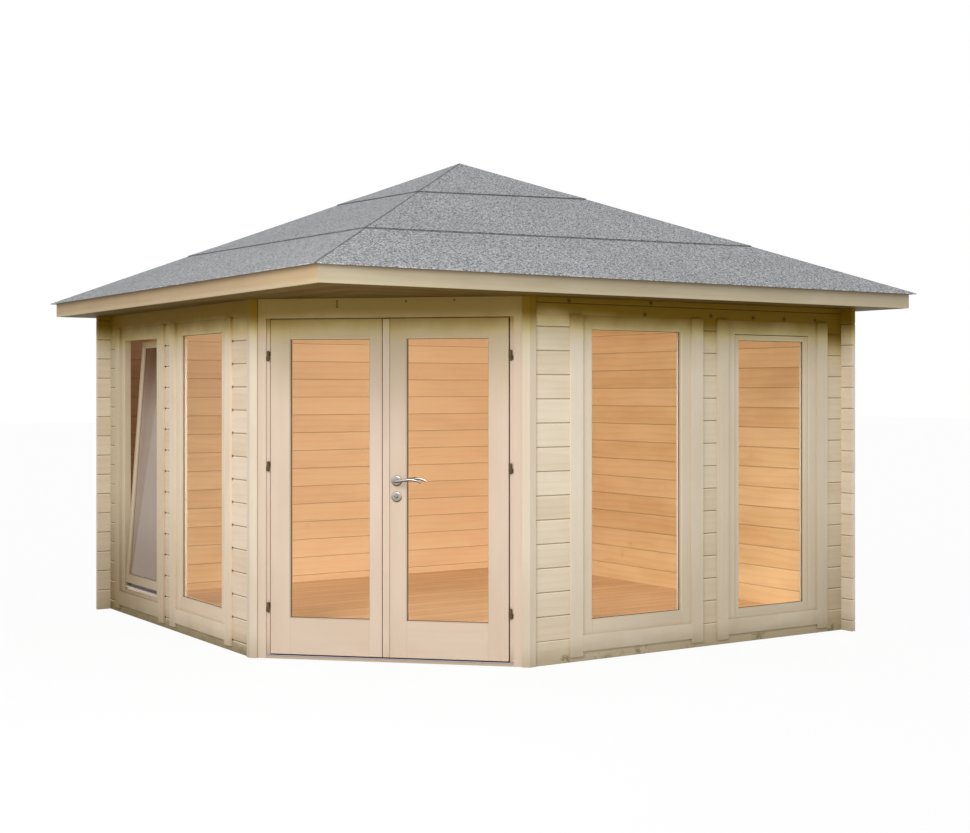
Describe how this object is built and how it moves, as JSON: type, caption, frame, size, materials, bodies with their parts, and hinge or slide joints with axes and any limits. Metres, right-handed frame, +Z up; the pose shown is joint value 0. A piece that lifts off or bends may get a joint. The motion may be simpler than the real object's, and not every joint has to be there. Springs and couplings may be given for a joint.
{
  "type": "log cabin",
  "caption": "Square log cabin with one corner cut off for a glazed double door, tall windows beside it and a felted pyramid roof",
  "frame": {"origin": "on the ground under the roof's apex, which is the middle of the bounding box's bottom", "axes": "+Z up; the cut corner with the double door faces the horizontal direction halfway between -X and -Y; the plain walls face +X and +Y; the other glazed walls face -X and -Y"},
  "size_m": [3.788, 3.788, 2.7459],
  "materials": {
    "outer_wood": "pale planed spruce logs, orange tan inside, small V joints",
    "frame_wood": "pale planed softwood frames, leaves and casings",
    "roof_wood": "planed softwood boards and rafters",
    "floor_wood": "warm tan floor boards",
    "fascia_wood": "pale pinkish tan fascia boards",
    "felt": "mineral felt, speckled mid grey",
    "clear_glass": "clear",
    "satin_metal": "satin",
    "bronze_metal": "dark bronze",
    "strip_metal": "plain mill finish"
  },
  "bodies": {
    "cabin": {"apex_block": "roof_wood", "casings_left": "frame_wood", "casings_right": "frame_wood", "corner_post_left": "outer_wood", "corner_post_right": "outer_wood", "door_head": "frame_wood", "door_jambs": "frame_wood", "door_threshold": "frame_wood", "fascia": "fascia_wood", "floor_bearers": "floor_wood", "floor_boards": "floor_wood", "hinge_halves_frame": "bronze_metal", "rafters": "roof_wood", "roof_boards": "roof_wood", "roof_felt": "felt", "soffit": "roof_wood", "threshold_strip": "strip_metal", "wall_back_left": "outer_wood", "wall_back_right": "outer_wood", "wall_left_low_logs": "outer_wood", "wall_left_piers": "outer_wood", "wall_left_top_logs": "outer_wood", "wall_plates": "roof_wood", "wall_right_low_logs": "outer_wood", "wall_right_piers": "outer_wood", "wall_right_top_logs": "outer_wood", "window_frame_left_far": "frame_wood", "window_frame_left_near": "frame_wood", "window_frame_right_far": "frame_wood", "window_frame_right_near": "frame_wood", "window_glass_left_far": "clear_glass", "window_glass_left_near": "clear_glass", "window_glass_right_far": "clear_glass", "window_glass_right_near": "clear_glass", "window_sash_left_far": "frame_wood", "window_sash_right_far": "frame_wood", "window_weather_bar": "strip_metal"},
    "leaf_left": {"door_leaf_left": "frame_wood", "door_glass_left": "clear_glass", "hinge_halves_left": "bronze_metal"},
    "leaf_right": {"door_leaf_right": "frame_wood", "door_glass_right": "clear_glass", "hinge_halves_right": "bronze_metal", "door_meeting_strip": "frame_wood", "lock_roses": "satin_metal"},
    "lever": {"door_lever": "satin_metal"}
  },
  "joints": [
    {"name": "left_leaf_swing", "type": "hinge", "parent": "cabin", "child": "leaf_left", "pos_m": [-1.54646, -0.64985, 0.9], "axis": [0, 0, -1], "range_deg": [0, 110]},
    {"name": "right_leaf_swing", "type": "hinge", "parent": "cabin", "child": "leaf_right", "pos_m": [-0.64985, -1.54646, 0.9], "axis": [0, 0, 1], "range_deg": [0, 110]},
    {"name": "lever_turn", "type": "hinge", "parent": "leaf_right", "child": "lever", "pos_m": [-1.05007, -1.11513, 0.918], "axis": [0.7071, 0.7071, 0], "range_deg": [0, 40], "stiffness_Nm_per_rad": 0.8, "springref_deg": -28.65}
  ]
}
